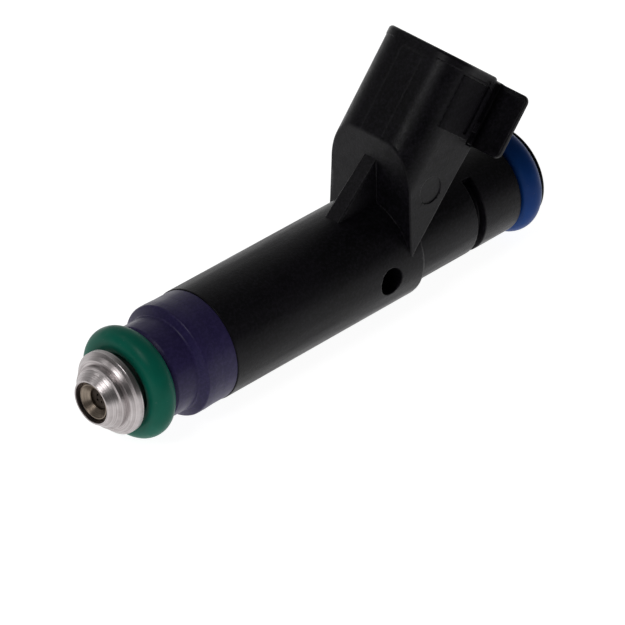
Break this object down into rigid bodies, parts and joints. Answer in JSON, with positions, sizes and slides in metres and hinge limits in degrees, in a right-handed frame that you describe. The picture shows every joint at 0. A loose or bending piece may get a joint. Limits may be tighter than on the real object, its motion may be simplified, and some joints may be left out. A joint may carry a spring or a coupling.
{
  "type": "fuel injector",
  "caption": "Solenoid port fuel injector: moulded body with a slanted two-blade connector, O-ring seals at both ends, turned steel nozzle and a sprung needle valve inside.",
  "frame": {"origin": "centre of the lower O-ring, on the fuel path's axis", "axes": "+X along the fuel path's axis, from the nozzle to the inlet; +Z from the axis to the connector's side; +Y across"},
  "size_m": [0.0738, 0.0208, 0.0343],
  "materials": {
    "body_plastic": "semi-gloss moulded black, fine grain",
    "sleeve_plastic": "semi-gloss moulded purple",
    "green_rubber": "smooth, slightly oily",
    "blue_rubber": "smooth, slightly oily",
    "collar_plastic": "moulded black",
    "turned_steel": "fine turning marks",
    "inner_steel": "ground",
    "soft_iron": "plain turned",
    "spring_steel": "drawn wire",
    "copper_wire": "varnished",
    "tinned_metal": "tin plated",
    "bobbin_plastic": "natural moulded",
    "filter_plastic": "natural moulded",
    "filter_cloth": "fine woven wire",
    "brass": "plain"
  },
  "bodies": {
    "injector": {"body_overmold": "body_plastic", "lower_sleeve": "sleeve_plastic", "lower_o_ring": "green_rubber", "upper_o_ring": "blue_rubber", "inlet_collar": "collar_plastic", "valve_body": "turned_steel", "orifice_retainer": "inner_steel", "orifice_plate": "inner_steel", "valve_seat": "inner_steel", "needle_guide": "inner_steel", "pole_piece": "soft_iron", "adjusting_sleeve": "inner_steel", "magnet_sleeve": "inner_steel", "inlet_tube": "inner_steel", "coil_bobbin": "bobbin_plastic", "coil_winding": "copper_wire", "coil_housing": "soft_iron", "flux_washer": "soft_iron", "terminal_left": "tinned_metal", "terminal_right": "tinned_metal", "filter_basket": "filter_plastic", "filter_mesh": "filter_cloth", "filter_ring": "brass"},
    "needle": {"valve_ball": "inner_steel", "needle_tube": "inner_steel", "armature": "soft_iron", "return_spring": "spring_steel"}
  },
  "joints": [
    {"name": "needle_lift", "type": "slide", "parent": "injector", "child": "needle", "axis": [1, 0, 0], "range_m": [0, 0.0001], "stiffness_N_per_m": 1000, "springref_m": -0.003, "deforming": ["return_spring"]}
  ]
}
